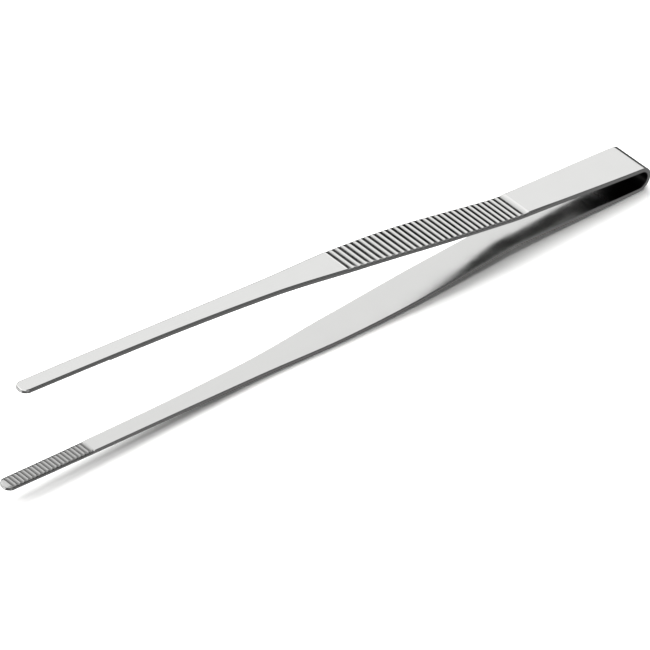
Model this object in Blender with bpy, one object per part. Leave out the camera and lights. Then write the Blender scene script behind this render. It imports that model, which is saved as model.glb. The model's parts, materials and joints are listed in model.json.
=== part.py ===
"""Print tongs: one stainless strip folded into a U, with two mirror-image arms.

The strip lies on its lower arm, +Z up, with the bend towards +X and the tips towards -X.
It is modelled in the strip's own frame, where x runs from the bend's apex to the tips, y runs
across the strip, and z = 0 is the middle plane between the arms. An empty then tilts and turns
the whole strip, so that the bend and the swell of the lower arm both touch the ground.
The strip flexes, so each arm turns on a hinge line across its handle leg, where a leaf spring
that is squeezed at the grip seems to pivot.
"""

import math

import bmesh
import bpy
from mathutils import Matrix, Vector

MM = 0.001

# Strip
LENGTH = 210.0 * MM
THICKNESS = 1.3 * MM
BEND_RADIUS = 2.95 * MM           # to the middle of the thickness
OUTER_EDGE = 0.45 * MM            # rounding of the outer long edges
INNER_EDGE = 0.15 * MM            # rounding of the inner long edges
TIP_ROUND = 2.6 * MM              # length of the rounded end, seen from above

# Stations along the arm
LEG_END = 42.0 * MM               # the flat handle leg ends and the grip flares out
FLARE_START = 50.0 * MM
FLARE_END = 74.0 * MM
SWELL = 100.0 * MM
BLADE = 130.0 * MM
BLADE_MIDDLE = 165.0 * MM

# Slope of the arm away from the middle plane, in degrees
LEG_SLOPE = 1.7
FLARE_SLOPE = 7.2
SWELL_SLOPE = 4.5
BLADE_SLOPE = 2.4
BLADE_MIDDLE_SLOPE = 1.4
TIP_SLOPE = 0.5

# Width across the strip
BEND_WIDTH = 11.0 * MM
NECK_WIDTH = 9.3 * MM
GRIP_WIDTH = 10.25 * MM
SWELL_WIDTH = 9.15 * MM
BLADE_WIDTH = 5.8 * MM
BLADE_MIDDLE_WIDTH = 4.5 * MM
TIP_WIDTH = 4.1 * MM
NECK = 44.0 * MM
GRIP_WIDEST = 76.0 * MM

# Grip grooves, on the outer faces
GROOVE_COUNT = 31
FIRST_GROOVE = 44.7 * MM
GROOVE_PITCH = 1.884 * MM         # from the first groove to the second
PITCH_GROWTH = 0.0089 * MM        # each pitch towards the tips is longer by this much
GROOVE_RADIUS = 0.75 * MM
GROOVE_DEPTH = 0.4 * MM

# Tip teeth, on the inner faces
TOOTH_COUNT = 20
TOOTH_PITCH = 1.285 * MM
TOOTH_END_MARGIN = 1.65 * MM      # plain metal between the last tooth and the tip
TOOTH_RADIUS = 0.55 * MM
TOOTH_DEPTH = 0.3 * MM

# Hinge line of each arm
HINGE_AT = 25.0 * MM
JOINT_GAP = 0.3 * MM

STATION_STEP = 5.0 * MM
BEND_SEGMENTS = 20
TIP_SEGMENTS = 7
TIP_SWEEP = math.radians(80.0)    # the rounded end stops short of a point
EDGE_SEGMENTS = 3
CUTTER_SIDES = 16
CUTTER_LENGTH = 2.0 * BEND_WIDTH   # past both sides of the strip

UPPER = 1
LOWER = -1
OUTER_FACE = 1
INNER_FACE = -1

STEEL_COLOUR = (0.78, 0.79, 0.79)
ARM_ROUGHNESS = 0.22
BEND_ROUGHNESS = 0.18

SLOPES = [
    (0.0, LEG_SLOPE),
    (LEG_END, LEG_SLOPE),
    (FLARE_START, FLARE_SLOPE),
    (FLARE_END, FLARE_SLOPE),
    (SWELL, SWELL_SLOPE),
    (BLADE, BLADE_SLOPE),
    (BLADE_MIDDLE, BLADE_MIDDLE_SLOPE),
    (LENGTH, TIP_SLOPE),
]

WIDTHS = [
    (0.0, BEND_WIDTH),
    (NECK, NECK_WIDTH),
    (GRIP_WIDEST, GRIP_WIDTH),
    (SWELL, SWELL_WIDTH),
    (BLADE, BLADE_WIDTH),
    (BLADE_MIDDLE, BLADE_MIDDLE_WIDTH),
    (LENGTH, TIP_WIDTH),
]


def clear_scene():
    """Remove every object."""
    for item in list(bpy.data.objects):
        bpy.data.objects.remove(item, do_unlink=True)


def add_collection(name):
    """Return a new collection linked to the scene."""
    collection = bpy.data.collections.new(name)
    bpy.context.scene.collection.children.link(collection)
    return collection


def add_material(name, colour, roughness):
    """Return a metal material."""
    material = bpy.data.materials.new(name)
    material.use_nodes = True
    shader = material.node_tree.nodes["Principled BSDF"]
    shader.inputs["Base Color"].default_value = (*colour, 1.0)
    shader.inputs["Metallic"].default_value = 1.0
    shader.inputs["Roughness"].default_value = roughness
    return material


def straight_between(table, x):
    """Read a table of (place, value) with straight lines between its places."""
    for (start, low), (end, high) in zip(table, table[1:]):
        if x <= end:
            return low + (high - low) * (x - start) / (end - start)
    return table[-1][1]


def smooth_through(table, x):
    """Read a table of (place, value) along a smooth curve through its points."""
    places = [place for place, _ in table]
    values = [value for _, value in table]
    steps = [(values[i + 1] - values[i]) / (places[i + 1] - places[i]) for i in range(len(table) - 1)]
    rates = [0.0]
    for before, after in zip(steps, steps[1:]):
        same_way = before * after > 0.0
        rates.append(2.0 * before * after / (before + after) if same_way else 0.0)
    rates.append(steps[-1])
    i = max(j for j in range(len(steps)) if places[j] <= max(x, places[0]))
    run = places[i + 1] - places[i]
    t = min((x - places[i]) / run, 1.0)
    return (
        (1.0 + 2.0 * t) * (1.0 - t) ** 2 * values[i]
        + t * (1.0 - t) ** 2 * run * rates[i]
        + t * t * (3.0 - 2.0 * t) * values[i + 1]
        + t * t * (t - 1.0) * run * rates[i + 1]
    )


def slope_at(x):
    """Return the arm's slope at a station, in radians."""
    return math.radians(straight_between(SLOPES, x))


def leg_start():
    """Return the point where the round bend meets the leg, in the middle of the thickness."""
    turn = math.radians(90.0 - LEG_SLOPE)
    return BEND_RADIUS * (1.0 - math.cos(turn)), BEND_RADIUS * math.sin(turn)


def height_at(x):
    """Return the height of the middle of the thickness above the middle plane."""
    place, height = leg_start()
    for end, _ in SLOPES[1:]:
        stop = min(end, x)
        if stop > place:
            middle = 0.5 * (place + stop)
            slopes = math.tan(slope_at(place)) + 4.0 * math.tan(slope_at(middle)) + math.tan(slope_at(stop))
            height += slopes * (stop - place) / 6.0
            place = stop
    return height


def half_width_at(x):
    """Return half the strip's width at a station, with the rounded end of the tip."""
    into_round = (x - (LENGTH - TIP_ROUND)) / TIP_ROUND
    half = 0.5 * smooth_through(WIDTHS, x)
    if into_round > 0.0:
        half *= math.sqrt(max(1.0 - into_round**2, 0.0))
    return half


def stations_between(start, end):
    """Return stations from start to end, with one at every place where the shape changes."""
    fixed = [place for place, _ in SLOPES + WIDTHS if start < place < end]
    ends = sorted({start, *fixed, end})
    stations = [start]
    for low, high in zip(ends, ends[1:]):
        count = max(1, round((high - low) / STATION_STEP))
        stations += [low + (high - low) * (i + 1) / count for i in range(count)]
    return stations


def arm_point(x, side):
    """Return a point on the middle of an arm's thickness, and the way its outer face looks."""
    slope = slope_at(x)
    return Vector((x, 0.0, side * height_at(x))), Vector((-math.sin(slope), 0.0, side * math.cos(slope)))


def bend_point(angle):
    """Return the same for the bend, where the angle is 0 at the apex and 90 degrees at the top."""
    outward = Vector((-math.cos(angle), 0.0, math.sin(angle)))
    return Vector((BEND_RADIUS, 0.0, 0.0)) + BEND_RADIUS * outward, outward


def arm_path(side):
    """Return an arm's path from its hinge gap to its tip: points, outward directions, half widths."""
    stations = stations_between(HINGE_AT + 0.5 * JOINT_GAP, LENGTH - TIP_ROUND)
    for i in range(1, TIP_SEGMENTS + 1):
        angle = TIP_SWEEP * i / TIP_SEGMENTS
        stations.append(LENGTH - TIP_ROUND * (1.0 - math.sin(angle)))
    return [(*arm_point(x, side), half_width_at(x)) for x in stations]


def bend_path():
    """Return the path of the bend and of both legs, up to the hinge gaps."""
    leg = stations_between(leg_start()[0], HINGE_AT - 0.5 * JOINT_GAP)[1:]
    turn = math.radians(90.0 - LEG_SLOPE)
    angles = [turn - 2.0 * turn * i / BEND_SEGMENTS for i in range(BEND_SEGMENTS + 1)]
    arc = [bend_point(angle) for angle in angles]
    upper = [(*arm_point(x, UPPER), half_width_at(x)) for x in reversed(leg)]
    lower = [(*arm_point(x, LOWER), half_width_at(x)) for x in leg]
    return upper + [(point, outward, half_width_at(point.x)) for point, outward in arc] + lower


def section(half_width):
    """Return the strip's cross-section as (across, outward) pairs: outer edges round, inner ones eased."""
    outer = min(OUTER_EDGE, 0.8 * half_width)
    inner = min(INNER_EDGE, 0.4 * half_width)
    top = 0.5 * THICKNESS
    corners = []
    for i in range(EDGE_SEGMENTS + 1):
        angle = math.radians(90.0) * i / EDGE_SEGMENTS
        across = half_width - outer * (1.0 - math.cos(angle))
        corners.append((across, top - outer * (1.0 - math.sin(angle))))
    half = [(half_width - inner, -top), (half_width, inner - top), *corners]
    return half + [(-across, outward) for across, outward in reversed(half)]


def strip_solid(path):
    """Return a closed bmesh lofted through the strip's cross-sections along a path."""
    bm = bmesh.new()
    across = Vector((0.0, 1.0, 0.0))
    rings = []
    for point, outward, half_width in path:
        ring = [bm.verts.new(point + across * y + outward * out) for y, out in section(half_width)]
        rings.append(ring)
    for ring, following in zip(rings, rings[1:]):
        for i in range(len(ring)):
            bm.faces.new((ring[i - 1], ring[i], following[i], following[i - 1]))
    bm.faces.new(rings[0])
    bm.faces.new(rings[-1])
    bmesh.ops.recalc_face_normals(bm, faces=bm.faces[:])
    return bm


def add_cutter_bar(bm, x, side, face, radius, depth):
    """Add a bar across the strip that sinks a groove of a given depth into the outer or inner face."""
    point, outward = arm_point(x, side)
    centre = point + outward * face * (0.5 * THICKNESS + radius - depth)
    lie_across = Matrix.Rotation(math.radians(90.0), 4, "X")
    bmesh.ops.create_cone(
        bm,
        cap_ends=True,
        segments=CUTTER_SIDES,
        radius1=radius,
        radius2=radius,
        depth=CUTTER_LENGTH,
        matrix=Matrix.Translation(centre) @ lie_across,
    )


def groove_cutters(side):
    """Return a bmesh of the bars that cut an arm's grip grooves."""
    bm = bmesh.new()
    for i in range(GROOVE_COUNT):
        x = FIRST_GROOVE + i * GROOVE_PITCH + 0.5 * i * (i - 1) * PITCH_GROWTH
        add_cutter_bar(bm, x, side, OUTER_FACE, GROOVE_RADIUS, GROOVE_DEPTH)
    return bm


def tooth_cutters(side):
    """Return a bmesh of the bars that cut the notches between an arm's tip teeth."""
    bm = bmesh.new()
    for i in range(TOOTH_COUNT):
        x = LENGTH - TOOTH_END_MARGIN - (i + 0.5) * TOOTH_PITCH
        add_cutter_bar(bm, x, side, INNER_FACE, TOOTH_RADIUS, TOOTH_DEPTH)
    return bm


def add_object(name, bm, collection, parent, origin):
    """Link a bmesh as an object whose origin lies at a point of the strip's own frame."""
    bmesh.ops.translate(bm, verts=bm.verts, vec=-origin)
    mesh = bpy.data.meshes.new(name)
    bm.to_mesh(mesh)
    bm.free()
    item = bpy.data.objects.new(name, mesh)
    item.location = origin
    item.parent = parent
    collection.objects.link(item)
    return item


def add_cutter(name, bm, collection, parent, target):
    """Cut a target with a bmesh, kept as a hidden wire object."""
    cutter = add_object(name, bm, collection, parent, Vector((0.0, 0.0, 0.0)))
    cutter.hide_render = True
    cutter.display_type = "WIRE"
    cut = target.modifiers.new(name, "BOOLEAN")
    cut.operation = "DIFFERENCE"
    cut.solver = "EXACT"
    cut.object = cutter


def finish(item, material):
    """Give an object its material and smooth shading with sharp edges."""
    item.data.materials.append(material)
    item.data.shade_smooth()
    item.data.set_sharp_from_angle(angle=math.radians(35.0))


def resting_tilt(path):
    """Return the turn about the bend that lays the lower arm's outer face on the bend's tangent."""
    radius = BEND_RADIUS + 0.5 * THICKNESS
    tilts = []
    for point, outward, _ in path:
        foot = point + outward * 0.5 * THICKNESS - Vector((BEND_RADIUS, 0.0, 0.0))
        tilts.append(math.atan2(-foot.z, foot.x) - math.asin(radius / foot.length))
    return max(tilts)


def add_resting_frame(collection, lower_path):
    """Return the empty that stands the strip on the ground, centred over the origin along X."""
    tilt = resting_tilt(lower_path)
    turn = Matrix.Rotation(tilt, 4, "Y") @ Matrix.Rotation(math.radians(180.0), 4, "Z")
    radius = BEND_RADIUS + 0.5 * THICKNESS
    bend_centre = turn @ Vector((BEND_RADIUS, 0.0, 0.0))
    tip, outward, _ = lower_path[-1]
    far_corner = turn @ (tip + outward * 0.5 * THICKNESS)
    middle = 0.5 * (far_corner.x + bend_centre.x + radius)
    frame = bpy.data.objects.new("resting_frame", None)
    frame.empty_display_size = BEND_WIDTH
    frame.matrix_world = Matrix.Translation((-middle, 0.0, radius - bend_centre.z)) @ turn
    collection.objects.link(frame)
    return frame


def add_arm(name, side, collection, cutters, frame):
    """Build one arm, with its origin on its hinge line."""
    hinge, _ = arm_point(HINGE_AT, side)
    arm = add_object(name, strip_solid(arm_path(side)), collection, frame, hinge)
    add_cutter(f"{name}_grip_grooves", groove_cutters(side), cutters, frame, arm)
    add_cutter(f"{name}_tip_notches", tooth_cutters(side), cutters, frame, arm)
    finish(arm, add_material(f"{name}_steel", STEEL_COLOUR, ARM_ROUGHNESS))


def main():
    """Build the print tongs."""
    clear_scene()
    tongs = add_collection("print_tongs")
    cutters = add_collection("cutters")
    frame = add_resting_frame(tongs, arm_path(LOWER))
    bend = add_object("spring_bend", strip_solid(bend_path()), tongs, frame, Vector((0.0, 0.0, 0.0)))
    finish(bend, add_material("spring_bend_steel", STEEL_COLOUR, BEND_ROUGHNESS))
    add_arm("upper_arm", UPPER, tongs, cutters, frame)
    add_arm("lower_arm", LOWER, tongs, cutters, frame)


main()
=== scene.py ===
"""Visual model of a pair of one-piece stainless print tongs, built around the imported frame.

The real tongs are blanked from a strip of stainless steel, pressed with a ribbed grip and
toothed tips, tumbled until the outer edges are round, folded into a U and polished. The script
makes them the same way: a straight bar with a rounded section, pressed relief, then the fold.
"""

import json
import logging
import math
from dataclasses import dataclass, field
from enum import Enum, IntEnum

import bmesh
import bpy
from mathutils import Matrix, Vector

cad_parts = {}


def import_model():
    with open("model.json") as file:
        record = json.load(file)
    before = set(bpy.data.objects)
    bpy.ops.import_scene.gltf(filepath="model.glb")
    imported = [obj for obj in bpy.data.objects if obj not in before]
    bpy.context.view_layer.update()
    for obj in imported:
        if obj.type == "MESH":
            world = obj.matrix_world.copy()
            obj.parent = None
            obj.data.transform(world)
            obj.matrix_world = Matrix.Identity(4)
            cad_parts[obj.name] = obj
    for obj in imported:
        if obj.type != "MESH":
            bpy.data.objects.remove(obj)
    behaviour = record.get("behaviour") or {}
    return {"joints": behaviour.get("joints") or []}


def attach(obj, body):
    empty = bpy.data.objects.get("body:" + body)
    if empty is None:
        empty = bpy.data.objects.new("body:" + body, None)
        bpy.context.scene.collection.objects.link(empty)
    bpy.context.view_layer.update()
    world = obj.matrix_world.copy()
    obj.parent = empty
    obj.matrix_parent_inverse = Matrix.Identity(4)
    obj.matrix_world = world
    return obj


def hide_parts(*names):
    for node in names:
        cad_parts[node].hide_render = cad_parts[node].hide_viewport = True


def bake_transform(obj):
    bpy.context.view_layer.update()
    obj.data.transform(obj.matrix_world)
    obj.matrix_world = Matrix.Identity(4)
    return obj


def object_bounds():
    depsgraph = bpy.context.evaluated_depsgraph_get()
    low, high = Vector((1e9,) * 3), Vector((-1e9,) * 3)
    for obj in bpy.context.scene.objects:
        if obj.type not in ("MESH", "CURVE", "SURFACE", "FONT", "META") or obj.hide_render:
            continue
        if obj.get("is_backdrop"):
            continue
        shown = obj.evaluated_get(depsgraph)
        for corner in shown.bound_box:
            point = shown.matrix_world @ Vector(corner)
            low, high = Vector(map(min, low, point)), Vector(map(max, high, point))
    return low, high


LOG = logging.getLogger("print_tongs")
MM = 0.001
SAME_PLACE = 0.001 * MM


class Side(IntEnum):
    """Which way an arm spreads from the middle plane of the tongs."""

    UPPER = 1
    LOWER = -1


class Zone(IntEnum):
    """Stretches of the strip that were worked differently, as material slots of a piece."""

    FACE = 0
    INSIDE = 1
    GRIP = 2
    TEETH = 3


def linear(hex_colour: str) -> tuple[float, float, float, float]:
    """Turn an sRGB hex colour into linear RGBA.

    Args:
        hex_colour: Six hex digits, with or without a leading hash sign.

    Returns:
        Linear red, green, blue and an alpha of 1.
    """
    digits = hex_colour.lstrip("#")
    channels = [int(digits[i : i + 2], 16) / 255.0 for i in (0, 2, 4)]
    curve = [c / 12.92 if c <= 0.04045 else ((c + 0.055) / 1.055) ** 2.4 for c in channels]
    return (*curve, 1.0)


def ease(value: float, start: float, end: float) -> float:
    """Return a smooth step of a value from 0 at start to 1 at end.

    Args:
        value: The value to place between start and end.
        start: Where the step leaves 0.
        end: Where the step reaches 1, above or below start.

    Returns:
        The eased share, from 0 to 1.
    """
    t = min(max((value - start) / (end - start), 0.0), 1.0)
    return t * t * (3.0 - 2.0 * t)


@dataclass(frozen=True)
class Placement:
    """Where the strip's own frame lies in the row frame.

    In the strip's frame x runs from the bend's apex to the tips, y across the strip, and z away
    from the middle plane between the arms.
    """

    origin: Vector
    along: Vector
    across: Vector
    up: Vector

    @classmethod
    def from_joints(cls, joints: list[dict], hinge_station: float) -> "Placement":
        """Find the strip's frame from the two hinge lines, which face each other over its middle plane.

        Args:
            joints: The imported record's joints.
            hinge_station: Distance of the hinge lines from the bend's apex.

        Returns:
            The placement of the strip's frame.
        """
        upper, lower = (Vector(joint["pos_m"]) for joint in joints[:2])
        up = (upper - lower).normalized()
        across = Vector((0.0, 1.0, 0.0))
        along = up.cross(across).normalized()
        return cls(0.5 * (upper + lower) - hinge_station * along, along, across, up)

    def point(self, x: float, y: float, z: float) -> Vector:
        """Return a point of the strip's frame in the row frame."""
        return self.origin + x * self.along + y * self.across + z * self.up


@dataclass
class StripShape:
    """Sizes of the folded strip, in metres and degrees."""

    length: float = 209.97 * MM
    thickness: float = 1.28 * MM
    bend_radius: float = 2.95 * MM
    outer_edge: float = 0.42 * MM
    inner_edge: float = 0.12 * MM
    sharp_share: float = 0.35
    sharp_end: float = 29.0 * MM
    hinge_station: float = 25.0 * MM
    seam_station: float = 6.0 * MM
    leg_end: float = 42.0 * MM
    leg_slope: float = 1.7
    slopes: list[tuple[float, float]] = field(
        default_factory=lambda: [
            (50.0, 7.2),
            (74.0, 7.2),
            (100.0, 4.5),
            (130.0, 2.4),
            (165.0, 1.4),
            (210.0, 0.5),
        ]
    )
    widths: list[tuple[float, float]] = field(
        default_factory=lambda: [
            (0.0, 10.98),
            (44.0, 9.3),
            (76.0, 10.25),
            (100.0, 9.15),
            (130.0, 5.8),
            (165.0, 4.5),
            (210.0, 4.1),
        ]
    )

    def __post_init__(self) -> None:
        """Bring the tables to metres and put the straight leg before the slopes."""
        leg = [(0.0, self.leg_slope), (self.leg_end, self.leg_slope)]
        self.slopes = leg + [(place * MM, value) for place, value in self.slopes]
        self.widths = [(place * MM, value * MM) for place, value in self.widths]

    @property
    def tip_half(self) -> float:
        """Half the width of the tip, which is also the radius of its round end."""
        return 0.5 * self.widths[-1][1]

    @property
    def tip_centre(self) -> float:
        """Station of the centre of the tip's round end."""
        return self.length - self.tip_half

    def slope_at(self, x: float) -> float:
        """Return an arm's slope away from the middle plane at a station, in radians."""
        for (start, low), (end, high) in zip(self.slopes, self.slopes[1:]):
            if x <= end:
                return math.radians(low + (high - low) * (x - start) / (end - start))
        return math.radians(self.slopes[-1][1])

    def leg_start(self) -> tuple[float, float]:
        """Return the station and height where the round bend meets the straight leg."""
        turn = math.radians(90.0 - self.leg_slope)
        return self.bend_radius * (1.0 - math.cos(turn)), self.bend_radius * math.sin(turn)

    def height_at(self, x: float) -> float:
        """Return the height of the middle of the thickness above the middle plane.

        Args:
            x: Station along the arm.

        Returns:
            The height, from the slopes summed stretch by stretch with Simpson's rule.
        """
        place, height = self.leg_start()
        for end, _ in self.slopes[1:]:
            stop = min(end, x)
            if stop > place:
                middle = 0.5 * (place + stop)
                rates = [math.tan(self.slope_at(at)) for at in (place, middle, stop)]
                height += (rates[0] + 4.0 * rates[1] + rates[2]) * (stop - place) / 6.0
                place = stop
        return height

    def half_width_at(self, x: float) -> float:
        """Return half the strip's width at a station, on a smooth curve through the stated widths.

        Args:
            x: Station along the arm.

        Returns:
            Half the width, constant along the round end of the tip.
        """
        x = min(max(x, 0.0), self.tip_centre)
        places = [place for place, _ in self.widths]
        values = [value for _, value in self.widths]
        steps = [(b - a) / (q - p) for a, b, p, q in zip(values, values[1:], places, places[1:])]
        rates = [0.0] + [2.0 * a * b / (a + b) if a * b > 0.0 else 0.0 for a, b in zip(steps, steps[1:])]
        rates.append(steps[-1])
        i = max(j for j in range(len(steps)) if places[j] <= x)
        run = places[i + 1] - places[i]
        t = (x - places[i]) / run
        start = (1.0 + 2.0 * t) * (1.0 - t) ** 2 * values[i] + t * (1.0 - t) ** 2 * run * rates[i]
        end = t * t * (3.0 - 2.0 * t) * values[i + 1] + t * t * (t - 1.0) * run * rates[i + 1]
        return 0.5 * (start + end)

    def edge_share(self, x: float) -> float:
        """Return how much of the outer edges' full rounding a station has: the fold's own are sharper."""
        return self.sharp_share + (1.0 - self.sharp_share) * ease(x, self.sharp_end, self.leg_end)

    def fold(self, q: float) -> tuple[Vector, Vector, float]:
        """Place a cross-section of the straight bar on the folded strip.

        Args:
            q: Distance along the bar from the bend's apex, positive on the upper arm.

        Returns:
            The section's centre, the way its outer face looks, and its station along the arm.
        """
        side = 1.0 if q >= 0.0 else -1.0
        station = abs(q)
        start, _ = self.leg_start()
        if station < start:
            angle = math.radians(90.0 - self.leg_slope) * station / start
            outward = Vector((-math.cos(angle), 0.0, side * math.sin(angle)))
            centre = Vector((self.bend_radius, 0.0, 0.0)) + self.bend_radius * outward
            return centre, outward, centre.x
        slope = self.slope_at(station)
        outward = Vector((-math.sin(slope), 0.0, side * math.cos(slope)))
        return Vector((station, 0.0, side * self.height_at(station))), outward, station


@dataclass
class GripRelief:
    """Ribs pressed across the outer face, from a crease to the blade, rolled over at the strip's edges."""

    crease: float = 42.8 * MM
    first_groove: float = 44.02 * MM
    pitch: float = 1.884 * MM
    pitch_growth: float = 0.0089 * MM
    count: int = 31
    end: float = 105.75 * MM
    depth: float = 0.21 * MM
    rise_share: float = 0.72
    softness: float = 0.3
    step: float = 0.06 * MM
    roll: float = 1.5 * MM
    roll_share: float = 0.45
    crease_depth: float = 0.1 * MM
    crease_width: float = 0.24 * MM
    run_in: float = 0.5 * MM

    def covers(self, x: float) -> bool:
        """Say whether a station lies in the worked stretch."""
        return self.crease - self.run_in <= x <= self.end + self.run_in

    def groove_at(self, x: float) -> float:
        """Return a station as a number of grooves, 0 at the first one's floor, on their growing pitch."""
        base = self.pitch - 0.5 * self.pitch_growth
        root = math.sqrt(base * base + 2.0 * self.pitch_growth * (x - self.first_groove))
        return (root - base) / self.pitch_growth

    def share(self, x: float) -> float:
        """Return how deep a station lies between a rib's crest, 0, and a groove's floor, 1."""
        groove = self.groove_at(x)
        last = self.count - 1
        if groove < 0.0:
            return max(0.0, (x - self.crease) / (self.first_groove - self.crease))
        if groove > last:
            floor = self.first_groove + last * self.pitch + 0.5 * last * (last - 1) * self.pitch_growth
            return max(0.0, (self.end - x) / (self.end - floor))
        phase = groove % 1.0
        rise = self.rise_share
        wave = 1.0 - phase / rise if phase < rise else (phase - rise) / (1.0 - rise)
        return (1.0 - self.softness) * wave + self.softness * ease(wave, 0.0, 1.0)

    def drop(self, x: float, edge_distance: float) -> float:
        """Return how far the outer face is pressed in.

        Args:
            x: Station along the arm.
            edge_distance: Distance from the strip's nearer long edge.

        Returns:
            The depth, in metres.
        """
        middle = 0.5 * (self.crease + self.end)
        worked = ease(x, self.crease, self.crease + self.run_in) * ease(x, self.end, self.end - self.run_in)
        level = self.step * ease(x, self.crease, self.crease + self.run_in) * ease(x, self.end, middle)
        near = min(max(1.0 - edge_distance / self.roll, 0.0), 1.0)
        rolled = worked * self.roll_share * near * near
        crease = self.crease_depth * ease(abs(x - self.crease), self.crease_width, 0.0)
        return level + crease + self.depth * (1.0 - (1.0 - self.share(x)) * (1.0 - rolled))


@dataclass
class ToothRelief:
    """Fine teeth coined across the inner face of the tip, on a pad with bevelled edges."""

    end: float
    count: int = 20
    pitch: float = 1.285 * MM
    depth: float = 0.2 * MM
    step: float = 0.05 * MM
    run_in: float = 0.3 * MM
    floor_share: float = 0.2
    bevel: float = 0.7 * MM
    bevel_depth: float = 0.24 * MM

    @property
    def start(self) -> float:
        """Station where the first tooth begins."""
        return self.end - self.count * self.pitch

    def covers(self, x: float) -> bool:
        """Say whether a station lies on the coined pad."""
        return x >= self.start - self.run_in

    def share(self, x: float) -> float:
        """Return how deep a station lies between a tooth's crest, 0, and a notch's floor, 1."""
        if not self.start <= x <= self.end:
            return 0.0
        phase = (x - self.start) / self.pitch % 1.0
        return min(1.0, (1.0 - abs(2.0 * phase - 1.0)) / (1.0 - self.floor_share))

    def drop(self, x: float, edge_distance: float) -> float:
        """Return how far the inner face is pressed in.

        Args:
            x: Station along the arm.
            edge_distance: Distance from the strip's nearer edge.

        Returns:
            The depth, in metres.
        """
        worked = ease(x, self.start - self.run_in, self.start)
        bevelled = self.bevel_depth * min(max(1.0 - edge_distance / self.bevel, 0.0), 1.0)
        return worked * (self.step + max(bevelled, self.depth * self.share(x)))


def add_node(
    tree: bpy.types.NodeTree,
    kind: str,
    settings: dict[str, object] | None = None,
    values: dict[str | int, object] | None = None,
    links: dict[str | int, bpy.types.NodeSocket] | None = None,
) -> bpy.types.Node:
    """Add a node with its settings, its sockets' values and its incoming links.

    Args:
        tree: The node tree that the node joins.
        kind: The node's Blender type.
        settings: Attributes of the node itself.
        values: Default values of its input sockets, by name or number.
        links: Output sockets that feed its input sockets, by name or number.

    Returns:
        The new node.
    """
    node = tree.nodes.new(kind)
    for key, value in (settings or {}).items():
        setattr(node, key, value)
    for key, value in (values or {}).items():
        node.inputs[key].default_value = value
    for key, socket in (links or {}).items():
        tree.links.new(socket, node.inputs[key])
    return node


@dataclass(frozen=True)
class SteelFinish:
    """A finish of 18/8 stainless steel strip, with its marks sized in millimetres."""

    name: str
    crest_colour: str
    painted_shade_colour: str
    roughness: float
    groove_roughness: float
    line_spacing: float
    line_length: float
    line_depth: float
    cloud_size: float
    cloud_roughness: float
    pit_size: float
    pit_depth: float

    def build(self) -> bpy.types.Material:
        """Return the node material of this finish."""
        material = bpy.data.materials.new(self.name)
        material.use_nodes = True
        tree = material.node_tree
        tree.nodes.clear()
        place = add_node(tree, "ShaderNodeAttribute", {"attribute_name": "bar_place"})
        shade_mask = add_node(tree, "ShaderNodeAttribute", {"attribute_name": "painted_shade_share"})
        millimetres = add_node(
            tree,
            "ShaderNodeMapping",
            values={"Scale": (1.0 / MM, 1.0 / MM, 1.0 / MM)},
            links={"Vector": place.outputs["Vector"]},
        )
        stretched = add_node(
            tree,
            "ShaderNodeMapping",
            values={"Scale": (1.0 / self.line_length, 1.0 / self.line_spacing, 1.0 / self.line_spacing)},
            links={"Vector": millimetres.outputs["Vector"]},
        )
        lines = add_node(
            tree,
            "ShaderNodeTexNoise",
            values={"Scale": 1.0, "Detail": 3.0, "Roughness": 0.6},
            links={"Vector": stretched.outputs["Vector"]},
        )
        clouds = add_node(
            tree,
            "ShaderNodeTexNoise",
            values={"Scale": 1.0 / self.cloud_size, "Detail": 2.0, "Roughness": 0.5},
            links={"Vector": millimetres.outputs["Vector"]},
        )
        pits = add_node(
            tree,
            "ShaderNodeTexNoise",
            values={"Scale": 1.0 / self.pit_size, "Detail": 2.0, "Roughness": 0.7},
            links={"Vector": millimetres.outputs["Vector"]},
        )
        pit_bump = add_node(
            tree,
            "ShaderNodeBump",
            values={"Strength": 1.0, "Distance": self.pit_depth * MM},
            links={"Height": pits.outputs["Fac"]},
        )
        line_bump = add_node(
            tree,
            "ShaderNodeBump",
            values={"Strength": 1.0, "Distance": self.line_depth * MM},
            links={"Height": lines.outputs["Fac"], "Normal": pit_bump.outputs["Normal"]},
        )
        # Painted shade: the colour goes from the crest colour to the darker colour as the share rises, in the
        # grooves, the notches and inside the fold.
        colour = add_node(
            tree,
            "ShaderNodeMix",
            {"data_type": "RGBA"},
            values={6: linear(self.crest_colour), 7: linear(self.painted_shade_colour)},
            links={0: shade_mask.outputs["Fac"]},
        )
        base = add_node(
            tree,
            "ShaderNodeMapRange",
            values={"To Min": self.roughness, "To Max": self.groove_roughness},
            links={"Value": shade_mask.outputs["Fac"]},
        )
        cloudy = add_node(
            tree,
            "ShaderNodeMapRange",
            values={"From Min": 0.35, "From Max": 0.65, "To Min": 0.0, "To Max": self.cloud_roughness},
            links={"Value": clouds.outputs["Fac"]},
        )
        rough = add_node(
            tree,
            "ShaderNodeMath",
            {"operation": "ADD"},
            links={0: base.outputs["Result"], 1: cloudy.outputs["Result"]},
        )
        shader = add_node(
            tree,
            "ShaderNodeBsdfPrincipled",
            values={"Metallic": 1.0},
            links={
                "Base Color": colour.outputs[2],
                "Roughness": rough.outputs["Value"],
                "Normal": line_bump.outputs["Normal"],
            },
        )
        add_node(tree, "ShaderNodeOutputMaterial", links={"Surface": shader.outputs["BSDF"]})
        return material


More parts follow.
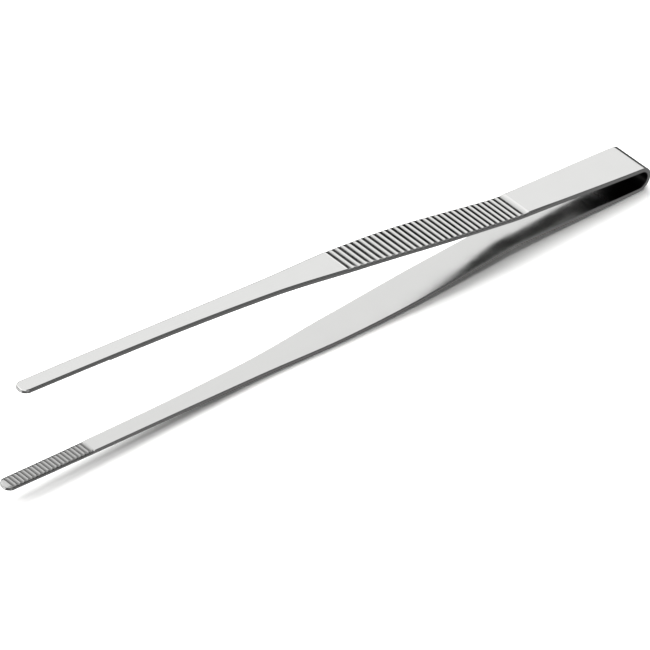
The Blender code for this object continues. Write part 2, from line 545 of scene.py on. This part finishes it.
class Finish(Enum):
    """The finishes of the strip, by how each stretch was worked."""

    # Polished along the strip with a felt wheel: a clear reflection with faint lengthwise lines.
    # Real lines are a few hundredths of a millimetre apart, too fine to show, so they are drawn coarser.
    FACE = SteelFinish(
        name="stainless_steel_polished",
        crest_colour="#C6C6C5",
        painted_shade_colour="#C6C6C5",
        roughness=0.13,
        groove_roughness=0.13,
        line_spacing=0.35,
        line_length=14.0,
        line_depth=0.0012,
        cloud_size=7.0,
        cloud_roughness=0.04,
        pit_size=0.6,
        pit_depth=0.0006,
    )
    # The inner faces keep the rolled strip's finer grain. Inside the fold they get a near-black painted
    # shade, the darker colour, with a duller roughness.
    INSIDE = SteelFinish(
        name="stainless_steel_rolled",
        crest_colour="#C0C0BF",
        painted_shade_colour="#242423",
        roughness=0.15,
        groove_roughness=0.3,
        line_spacing=0.4,
        line_length=10.0,
        line_depth=0.0009,
        cloud_size=6.0,
        cloud_roughness=0.05,
        pit_size=0.5,
        pit_depth=0.0004,
    )
    # Pressed ribs: crests painted brighter than the face as a painted highlight, and grooves painted darker
    # as painted shade, with a duller roughness.
    GRIP = SteelFinish(
        name="stainless_steel_pressed_ribs",
        crest_colour="#D2D2D1",
        painted_shade_colour="#ACACAB",
        roughness=0.1,
        groove_roughness=0.17,
        line_spacing=0.5,
        line_length=3.0,
        line_depth=0.002,
        cloud_size=4.0,
        cloud_roughness=0.05,
        pit_size=0.4,
        pit_depth=0.001,
    )
    # Coined teeth: a matt surface from the die, with a satin crest, and notches painted darker as painted
    # shade.
    TEETH = SteelFinish(
        name="stainless_steel_coined_teeth",
        crest_colour="#B8B8B7",
        painted_shade_colour="#747473",
        roughness=0.22,
        groove_roughness=0.3,
        line_spacing=0.5,
        line_length=2.0,
        line_depth=0.002,
        cloud_size=3.0,
        cloud_roughness=0.06,
        pit_size=0.35,
        pit_depth=0.002,
    )


@dataclass
class StripPiece:
    """A length of the folded strip as one closed mesh.

    The piece starts as a straight bar with the tip's width and a rounded section, in the bar's own
    frame: x along it, y across, z towards the outer face. It is then widened, pressed and folded.
    """

    name: str
    shape: StripShape
    place: Placement
    finishes: list[bpy.types.Material]
    flat_step: float = 0.14 * MM
    outer_segments: int = 6
    inner_segments: int = 3
    plain_step: float = 1.6 * MM
    inner_level: float = 0.3
    crease_angle: float = 40.0
    edge_band: float = 1.6 * MM
    side_reach: float = 1.0 * MM
    # Inner faces near the apex get the fold's painted shade: full up to the first of these stations, fading
    # out by the second.
    fold_shade_start: float = 11.0 * MM
    fold_shade_end: float = 17.0 * MM

    def half_section(self, bm: bmesh.types.BMesh, x: float) -> None:
        """Add half of the rounded cross-section as a wire, from the outer face's middle to the inner one's.

        Args:
            bm: The empty mesh that the wire joins.
            x: Place of the section along the bar.
        """
        half, top = self.shape.tip_half, 0.5 * self.shape.thickness
        corners = [(0.0, top), (half, top), (half, -top), (0.0, -top)]
        verts = [bm.verts.new((x, y, z)) for y, z in corners]
        for pair in zip(verts, verts[1:]):
            bm.edges.new(pair)
        rounds = [
            (1.0, self.shape.outer_edge, self.outer_segments),
            (-1.0, self.shape.inner_edge, self.inner_segments),
        ]
        for face, size, segments in rounds:
            side = [vert for vert in bm.verts if vert.co.y > half - SAME_PLACE]
            corner = [vert for vert in side if vert.co.z * face > top - SAME_PLACE]
            bmesh.ops.bevel(
                bm, geom=corner, affect="VERTICES", offset=size, segments=segments, profile=0.5, material=-1
            )
        for edge in [edge for edge in bm.edges if edge.calc_length() > 1.5 * self.flat_step]:
            bmesh.ops.subdivide_edges(bm, edges=[edge], cuts=round(edge.calc_length() / self.flat_step) - 1)

    def rim(self, bm: bmesh.types.BMesh, x: float) -> list[bmesh.types.BMEdge]:
        """Return the open edges that lie in one cross-section of the bar."""
        open_edges = [edge for edge in bm.edges if len(edge.link_faces) < 2]
        return [edge for edge in open_edges if all(abs(vert.co.x - x) < SAME_PLACE for vert in edge.verts)]

    def draw_out(self, bm: bmesh.types.BMesh, rim: list[bmesh.types.BMEdge], stations: list[float]) -> None:
        """Draw the bar out from an open rim through a list of stations, and close its end.

        Args:
            bm: The mesh.
            rim: The open edges to start from.
            stations: Places along the bar, in order.
        """
        for station in stations:
            drawn = bmesh.ops.extrude_edge_only(bm, edges=rim)["geom"]
            verts = {item for item in drawn if isinstance(item, bmesh.types.BMVert)}
            for vert in verts:
                vert.co.x = station
            edges = [item for item in drawn if isinstance(item, bmesh.types.BMEdge)]
            rim = [edge for edge in edges if verts.issuperset(edge.verts)]
        bmesh.ops.holes_fill(bm, edges=rim, sides=0)

    def steps(self, start: float, end: float, step: float) -> list[float]:
        """Return stations from start to end, without start, no further apart than a step."""
        count = max(1, math.ceil(abs(end - start) / step))
        return [start + (end - start) * (i + 1) / count for i in range(count)]

    def widen(self, y: float, half: float) -> float:
        """Move a place across the bar to where it lies on a wider strip, with the edges' rounding kept.

        Args:
            y: Place across the bar.
            half: Half the strip's width there.

        Returns:
            The place across the strip.
        """
        core = self.shape.tip_half - self.edge_band
        if abs(y) <= core:
            return y * (half - self.edge_band) / core
        return math.copysign(half - (self.shape.tip_half - abs(y)), y)

    def sharpen(self, distance: float, reach: float, share: float) -> float:
        """Shrink the rounding of an outer edge, and stretch the flat beside it to make up for it.

        Args:
            distance: Distance from the edge's sharp corner, along one of its two faces.
            reach: Distance at which nothing moves.
            share: Share of the full rounding that stays.

        Returns:
            The new distance.
        """
        size = self.shape.outer_edge
        if distance <= size:
            return distance * share
        if distance > reach:
            return distance
        return reach - (reach - distance) * (reach - share * size) / (reach - size)

    def pressed(self, x: float, edge_distance: float, z: float) -> tuple[float, float]:
        """Return the height of a point after pressing, and its share of painted shade, which is near black
        inside the fold, from 0 to 1.
        """
        # Painted shade inside the fold: full close to the apex, fading out further along the inner faces.
        inside = z < -self.inner_level * self.shape.thickness
        return z, ease(abs(x), self.fold_shade_end, self.fold_shade_start) if inside else 0.0

    def zone(self, x: float, z: float) -> Zone:
        """Return the finish of a face from the middle of it, in the bar's frame."""
        return Zone.FACE if z > -self.inner_level * self.shape.thickness else Zone.INSIDE

    def side_of(self, x: float) -> float:
        """Return the distance along the whole bar, positive on the upper arm, of a place on this piece."""
        return x

    def shape_bar(self, bm: bmesh.types.BMesh) -> None:
        """Widen, press and fold a straight bar, and note where each point was and how much painted shade it
        gets.
        """
        place_layer = bm.verts.layers.float_vector.new("bar_place")
        shade_layer = bm.verts.layers.float.new("painted_shade_share")
        for face in bm.faces:
            middle = face.calc_center_median()
            face.material_index = self.zone(middle.x, middle.z)
        folds, top = {}, 0.5 * self.shape.thickness
        for vert in bm.verts:
            x, y, z = vert.co
            key = round(x, 8)
            if key not in folds:
                folds[key] = self.shape.fold(self.side_of(x))
            centre, outward, station = folds[key]
            share, height = self.shape.edge_share(station), top - z
            if share < 1.0 and height < self.side_reach:
                inset = self.sharpen(self.shape.tip_half - abs(y), self.edge_band, share)
                y = math.copysign(self.shape.tip_half - inset, y)
                z = top - self.sharpen(height, self.side_reach, share)
            across = self.widen(y, self.shape.half_width_at(station))
            edge_distance = self.shape.tip_half - abs(y)
            if x > self.shape.tip_centre:
                edge_distance = self.shape.tip_half - math.hypot(x - self.shape.tip_centre, y)
            z, vert[shade_layer] = self.pressed(x, edge_distance, z)
            vert[place_layer] = (self.side_of(x), across, z)
            vert.co = self.place.point(centre.x + outward.x * z, across, centre.z + outward.z * z)
        bmesh.ops.recalc_face_normals(bm, faces=bm.faces[:])

    def finish(self, bm: bmesh.types.BMesh) -> bpy.types.Object:
        """Turn the shaped mesh into an object with its finishes.

        Args:
            bm: The finished mesh, which is freed.

        Returns:
            The linked object.
        """
        mesh = bpy.data.meshes.new(self.name)
        bm.to_mesh(mesh)
        bm.free()
        for material in self.finishes:
            mesh.materials.append(material)
        mesh.shade_smooth()
        mesh.set_sharp_from_angle(angle=math.radians(self.crease_angle))
        item = bpy.data.objects.new(self.name, mesh)
        bpy.context.scene.collection.objects.link(item)
        return item


@dataclass
class Bend(StripPiece):
    """The round fold at the handle end, with the first few millimetres of both flat legs."""

    arc_steps: int = 56

    def build(self) -> bpy.types.Object:
        """Return the finished bend, riding on the root body."""
        seam = self.shape.seam_station
        start, _ = self.shape.leg_start()
        bm = bmesh.new()
        self.half_section(bm, seam)
        bmesh.ops.mirror(bm, geom=bm.verts[:] + bm.edges[:], axis="Y", merge_dist=SAME_PLACE)
        stations = [start]
        stations += [start - 2.0 * start * (i + 1) / self.arc_steps for i in range(self.arc_steps)]
        self.draw_out(bm, bm.edges[:], stations + [-seam])
        bmesh.ops.holes_fill(bm, edges=self.rim(bm, seam), sides=0)
        self.shape_bar(bm)
        item = self.finish(bm)
        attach(item, "bend")
        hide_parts("spring_bend")
        return item


@dataclass
class Arm(StripPiece):
    """One arm: the rest of the flat leg, the ribbed grip, the blade and the toothed round tip."""

    side: Side = Side.UPPER
    grip_steps: int = 16
    tooth_steps: int = 10
    tip_turns: int = 28
    tooth_margin: float = 1.62 * MM
    rib_level: float = 0.3
    tooth_level: float = 0.8
    blend_margin: float = 1.0 * MM

    def __post_init__(self) -> None:
        """Lay out the reliefs on the arm."""
        self.grip = GripRelief()
        self.teeth = ToothRelief(self.shape.length - self.tooth_margin)

    def side_of(self, x: float) -> float:
        """Return the distance along the whole bar, negative on the lower arm."""
        return x * self.side

    def pressed(self, x: float, edge_distance: float, z: float) -> tuple[float, float]:
        """Return a point's height with the ribs pressed into the outer face or the teeth into the inner one.

        Args:
            x: Station along the arm.
            edge_distance: Distance from the strip's nearer edge.
            z: Height in the bar, from the middle of its thickness.

        Returns:
            The new height, and how deep the point lies in the relief from 0 to 1, which is also its share of
            painted shade.
        """
        top = 0.5 * self.shape.thickness
        low = self.shape.inner_edge - top
        if self.grip.covers(x) and z > low:
            drop = self.grip.drop(x, edge_distance)
            share = self.grip.share(x) if z > 0.0 else 0.0
            return z - drop * (z - low) / (top - low), share
        if z < -self.tooth_level * top and self.teeth.covers(x):
            return z + self.teeth.drop(x, edge_distance), self.teeth.share(x)
        return super().pressed(x, edge_distance, z)

    def zone(self, x: float, z: float) -> Zone:
        """Return the finish of a face from the middle of it, in the bar's frame."""
        top = 0.5 * self.shape.thickness
        if self.grip.covers(x) and z > self.rib_level * top:
            return Zone.GRIP
        if self.teeth.covers(x) and z < -self.tooth_level * top:
            return Zone.TEETH
        return super().zone(x, z)

    def stations(self) -> list[float]:
        """Return the stations from the tip's centre back to the seam, close together in the reliefs."""
        grip, teeth = self.grip, self.teeth
        pad = teeth.start - teeth.run_in
        ribs_start, ribs_end = grip.crease - grip.run_in, grip.end + grip.run_in
        places = self.steps(self.shape.tip_centre, pad, teeth.pitch / self.tooth_steps)
        places += self.steps(pad, ribs_end, self.plain_step)
        places += self.steps(ribs_end, ribs_start, grip.pitch / self.grip_steps)
        return places + self.steps(ribs_start, self.shape.seam_station, self.plain_step)

    def build(self) -> bpy.types.Object:
        """Return the finished arm, its placement baked into the mesh, with the imported arm part hidden."""
        shape = self.shape
        bm = bmesh.new()
        self.half_section(bm, shape.tip_centre)
        bmesh.ops.spin(
            bm,
            geom=bm.verts[:] + bm.edges[:],
            cent=(shape.tip_centre, 0.0, 0.0),
            axis=(0.0, 0.0, 1.0),
            angle=-math.pi,
            steps=self.tip_turns,
            use_merge=False,
        )
        bmesh.ops.remove_doubles(bm, verts=bm.verts[:], dist=SAME_PLACE)
        self.draw_out(bm, self.rim(bm, shape.tip_centre), self.stations())
        self.shape_bar(bm)
        item = self.finish(bm)
        body = f"{self.side.name.lower()}_arm"
        spread = self.side * shape.height_at(shape.hinge_station)
        blend_start = shape.seam_station + self.blend_margin
        start = self.place.point(blend_start, 0.0, spread)
        end = self.place.point(2.0 * shape.hinge_station - blend_start, 0.0, spread)
        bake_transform(item)
        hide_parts(body)
        return item


@dataclass(frozen=True)
class Fade:
    """A smooth change of brightness between two directions, each a cosine to one of the room's axes."""

    start: float
    end: float
    first: float
    last: float

    def values(self) -> dict[str, float]:
        """Return the values of the sockets of a Map Range node that makes this change."""
        return {"From Min": self.start, "From Max": self.end, "To Min": self.first, "To Max": self.last}


@dataclass
class Studio:
    """A pale floor, one large soft light, the room that the steel mirrors, and a camera."""

    shape: StripShape
    place: Placement
    floor_size: float = 6.0
    floor_colour: str = "#F4F4F3"
    azimuth: float = -48.0
    elevation: float = 38.28
    roll: float = -7.14
    distance: float = 2.1593
    aim_right: float = -1.496 * MM
    aim_down: float = 6.424 * MM
    lens: float = 498.5
    sight: float = 20.0
    key_energy: float = 8.0
    key_width: float = 90.0
    key_tilt: float = 36.0
    key_turn: float = 250.0
    dome: float = 0.15
    backdrop: float = 1.0
    gloom: float = 0.015
    ceiling_edge: Fade = Fade(0.2, 0.34, 0.0, 1.0)
    ceiling_end: Fade = Fade(0.2, 0.48, 1.68, 0.0)
    floor_edge: Fade = Fade(-0.25, -0.5, 0.0, 1.0)
    floor_right: Fade = Fade(0.2, 0.6, 0.03, 0.27)
    floor_left: Fade = Fade(-0.3, -0.55, 0.0, 1.3)
    floor_front: Fade = Fade(-0.3, -0.55, 0.0, 0.15)
    near_wall: Fade = Fade(-0.3, -0.6, 0.0, 0.6)
    near_wall_foot: Fade = Fade(-0.45, -0.2, 0.0, 1.0)
    back_wall: Fade = Fade(0.6, 0.8, 0.0, 1.0)
    back_band_top: Fade = Fade(-0.08, -0.22, 0.0, 0.9)
    back_band_foot: Fade = Fade(-0.55, -0.38, 0.0, 1.0)
    right_wall: Fade = Fade(0.5, 0.75, 0.0, 1.0)
    right_band_foot: Fade = Fade(0.02, 0.14, 0.0, 0.5)
    right_band_top: Fade = Fade(0.52, 0.4, 0.0, 1.0)

    def floor(self) -> None:
        """Add the floor, which the steel doesn't mirror, so that its reflections come from the room."""
        bm = bmesh.new()
        bmesh.ops.create_grid(bm, x_segments=1, y_segments=1, size=0.5 * self.floor_size)
        mesh = bpy.data.meshes.new("floor")
        bm.to_mesh(mesh)
        bm.free()
        material = bpy.data.materials.new("matt_white_table")
        material.use_nodes = True
        shader = material.node_tree.nodes["Principled BSDF"]
        shader.inputs["Base Color"].default_value = linear(self.floor_colour)
        shader.inputs["Roughness"].default_value = 1.0
        shader.inputs["Specular IOR Level"].default_value = 0.0
        mesh.materials.append(material)
        item = bpy.data.objects.new("floor", mesh)
        bpy.context.scene.collection.objects.link(item)
        item.visible_glossy = False
        item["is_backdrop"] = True

    def room(self) -> None:
        """Light the room that the steel mirrors.

        A soft ceiling ends on the right. The walls and the floor on the left and at the front are
        lit, the back wall and the right one have a band each, and the rest is nearly dark.
        """
        world = bpy.data.worlds.new("studio")
        bpy.context.scene.world = world
        world.use_nodes = True
        tree = world.node_tree
        tree.nodes.clear()
        turn = Matrix.Rotation(math.radians(self.azimuth), 3, "Z")
        direction = add_node(tree, "ShaderNodeTexCoord").outputs["Generated"]
        up = add_node(tree, "ShaderNodeSeparateXYZ", links={"Vector": direction}).outputs["Z"]
        across, beyond = (
            add_node(
                tree,
                "ShaderNodeVectorMath",
                {"operation": "DOT_PRODUCT"},
                values={1: turn @ axis},
                links={0: direction},
            ).outputs["Value"]
            for axis in (Vector((1.0, 0.0, 0.0)), Vector((0.0, 1.0, 0.0)))
        )
        surfaces = [
            [(up, self.ceiling_edge), (across, self.ceiling_end)],
            [(up, self.floor_edge), (across, self.floor_right)],
            [(up, self.floor_edge), (across, self.floor_left)],
            [(up, self.floor_edge), (beyond, self.floor_front)],
            [(up, self.near_wall_foot), (across, self.near_wall)],
            [(up, self.near_wall_foot), (beyond, self.near_wall)],
            [(up, self.back_band_foot), (up, self.back_band_top), (beyond, self.back_wall)],
            [(up, self.right_band_foot), (up, self.right_band_top), (across, self.right_wall)],
        ]
        level = add_node(tree, "ShaderNodeValue").outputs[0]
        level.default_value = self.gloom
        for fades in surfaces:
            glow = add_node(tree, "ShaderNodeValue").outputs[0]
            glow.default_value = 1.0
            for value, fade in fades:
                step = add_node(
                    tree,
                    "ShaderNodeMapRange",
                    {"interpolation_type": "SMOOTHSTEP"},
                    values=fade.values(),
                    links={"Value": value},
                )
                both = {0: glow, 1: step.outputs["Result"]}
                glow = add_node(tree, "ShaderNodeMath", {"operation": "MULTIPLY"}, links=both).outputs[0]
            both = {0: level, 1: glow}
            level = add_node(tree, "ShaderNodeMath", {"operation": "ADD"}, links=both).outputs[0]
        mirrored = add_node(tree, "ShaderNodeBackground", links={"Strength": level})
        dome = add_node(tree, "ShaderNodeBackground", values={"Strength": self.dome})
        plain = add_node(tree, "ShaderNodeBackground", values={"Strength": self.backdrop})
        ray = add_node(tree, "ShaderNodeLightPath").outputs
        soft = add_node(
            tree,
            "ShaderNodeMixShader",
            links={0: ray["Is Diffuse Ray"], 1: mirrored.outputs[0], 2: dome.outputs[0]},
        )
        mixed = add_node(
            tree,
            "ShaderNodeMixShader",
            links={0: ray["Is Camera Ray"], 1: soft.outputs[0], 2: plain.outputs[0]},
        )
        add_node(tree, "ShaderNodeOutputWorld", links={"Surface": mixed.outputs[0]})

    def key_light(self) -> None:
        """Add the large soft key light, high on the left and a little behind."""
        light = bpy.data.lights.new("soft_key", "SUN")
        light.energy = self.key_energy
        light.angle = math.radians(self.key_width)
        item = bpy.data.objects.new("soft_key", light)
        turn = math.radians(self.azimuth + self.key_turn)
        item.rotation_euler = (math.radians(self.key_tilt), 0.0, turn)
        item.visible_glossy = False
        bpy.context.scene.collection.objects.link(item)

    def camera(self) -> None:
        """Place the camera: a long lens that looks down on the middle of the tongs from the tips' side."""
        turn = Matrix.Rotation(math.radians(self.azimuth), 3, "Z")
        level_right = turn @ Vector((1.0, 0.0, 0.0))
        tilt = math.radians(self.elevation)
        forward = turn @ Vector((0.0, math.cos(tilt), -math.sin(tilt)))
        level_down = forward.cross(level_right)
        roll = math.radians(self.roll)
        right = math.cos(roll) * level_right + math.sin(roll) * level_down
        down = math.cos(roll) * level_down - math.sin(roll) * level_right
        middle = self.place.point(0.5 * self.shape.length, 0.0, 0.0)
        spot = middle - self.distance * forward + self.aim_right * right + self.aim_down * down
        data = bpy.data.cameras.new("camera")
        data.lens = self.lens
        data.clip_end = self.sight
        item = bpy.data.objects.new("camera", data)
        axes = Matrix((right, -down, -forward)).transposed()
        item.matrix_world = Matrix.Translation(spot) @ axes.to_4x4()
        bpy.context.scene.collection.objects.link(item)
        bpy.context.scene.camera = item

    def build(self) -> None:
        """Set up the whole studio."""
        self.floor()
        self.room()
        self.key_light()
        self.camera()
        bpy.context.scene.view_settings.view_transform = "Standard"


def corners(bounds: tuple[Vector, Vector]) -> list[list[float]]:
    """Return a box's two corners as plain lists."""
    return [[float(value) for value in corner] for corner in bounds]


def main() -> None:
    """Build the tongs and the studio."""
    logging.basicConfig(level=logging.INFO)
    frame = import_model()
    cad_box = corners(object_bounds())
    shape = StripShape()
    place = Placement.from_joints(frame["joints"], shape.hinge_station)
    finishes = [finish.value.build() for finish in Finish]
    pieces = [
        Bend("bend_strip", shape, place, finishes),
        Arm("upper_arm_strip", shape, place, finishes, side=Side.UPPER),
        Arm("lower_arm_strip", shape, place, finishes, side=Side.LOWER),
    ]
    for piece in pieces:
        item = piece.build()
        LOG.info("%s: %d faces", item.name, len(item.data.polygons))
    Studio(shape, place).build()
    {"cad": cad_box, "visual": corners(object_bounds())}


if __name__ == "__main__":
    main()
